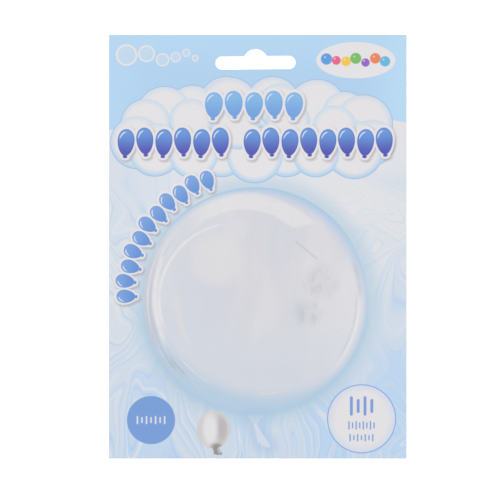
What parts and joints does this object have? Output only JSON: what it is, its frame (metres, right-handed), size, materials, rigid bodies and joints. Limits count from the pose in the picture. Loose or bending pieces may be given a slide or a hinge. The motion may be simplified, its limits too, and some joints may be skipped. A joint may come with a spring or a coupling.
{
  "type": "printed balloon packet",
  "caption": "Flat sealed retail packet with a printed front, a low swell over its folded contents and a hang slot punched through its header.",
  "frame": {"origin": "middle of the underside, on the surface the packet lies on", "axes": "+X right across the printed front, +Y towards the hang slot, +Z out of the printed front"},
  "size_m": [0.118, 0.168, 0.0032],
  "materials": {
    "print_stock": "satin coated print, pale blue and white"
  },
  "bodies": {
    "root": {"packet": "print_stock"}
  },
  "joints": []
}
